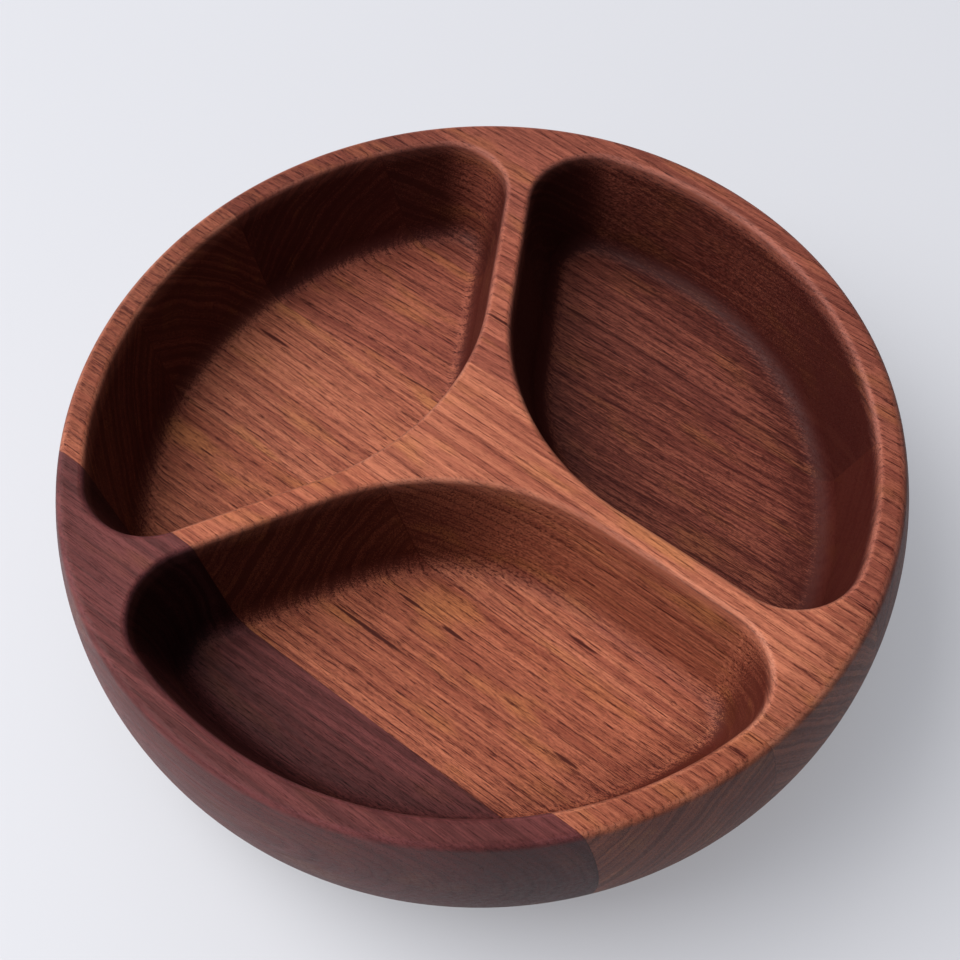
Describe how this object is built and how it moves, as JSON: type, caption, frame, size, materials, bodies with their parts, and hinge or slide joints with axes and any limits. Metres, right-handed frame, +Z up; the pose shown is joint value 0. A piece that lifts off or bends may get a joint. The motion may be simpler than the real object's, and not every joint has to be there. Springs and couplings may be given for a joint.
{
  "type": "lazy susan turntable",
  "caption": "Round divided teak serving tray with coved pockets that spins on a ball-bearing swivel over a small round base with rubber feet.",
  "frame": {"origin": "on the table, at the underside of the feet, under the tray's middle", "axes": "+Z up along the spin axis; the picture looks along +Y from above, with +X to its right"},
  "size_m": [0.236, 0.236, 0.0705],
  "materials": {
    "teak": "oiled satin",
    "dark_teak": "oiled satin",
    "base_teak": "oiled satin",
    "zinc_plate": "zinc-plated pressed sheet",
    "bright_steel": "polished",
    "cage_steel": "yellow-passivated sheet",
    "screw_steel": "zinc-plated",
    "rubber": "matt moulded"
  },
  "bodies": {
    "base": {"swivel_lower_plate": "zinc_plate", "lower_plate_screws": "screw_steel", "base_stave_1": "base_teak", "base_stave_2": "base_teak", "base_stave_3": "base_teak", "foot_1": "rubber", "foot_2": "rubber", "foot_3": "rubber", "foot_4": "rubber", "foot_screws": "screw_steel"},
    "ball_ring": {"bearing_balls": "bright_steel", "ball_cage": "cage_steel"},
    "tray": {"tray_stave_1": "dark_teak", "tray_stave_2": "teak", "tray_stave_3": "teak", "tray_stave_4": "teak", "tray_stave_5": "teak", "swivel_upper_plate": "zinc_plate", "swivel_eyelet": "bright_steel", "upper_plate_screws": "screw_steel"}
  },
  "joints": [
    {"name": "tray_spin", "type": "hinge", "parent": "base", "child": "tray", "pos_m": [0, 0, 0.022], "axis": [0, 0, 1], "continuous": true},
    {"name": "ball_ring_spin", "type": "hinge", "parent": "base", "child": "ball_ring", "pos_m": [0, 0, 0.022], "axis": [0, 0, 1], "continuous": true}
  ],
  "couplings": [
    {"joint": "ball_ring_spin", "follows": "tray_spin", "ratio": 0.5}
  ]
}
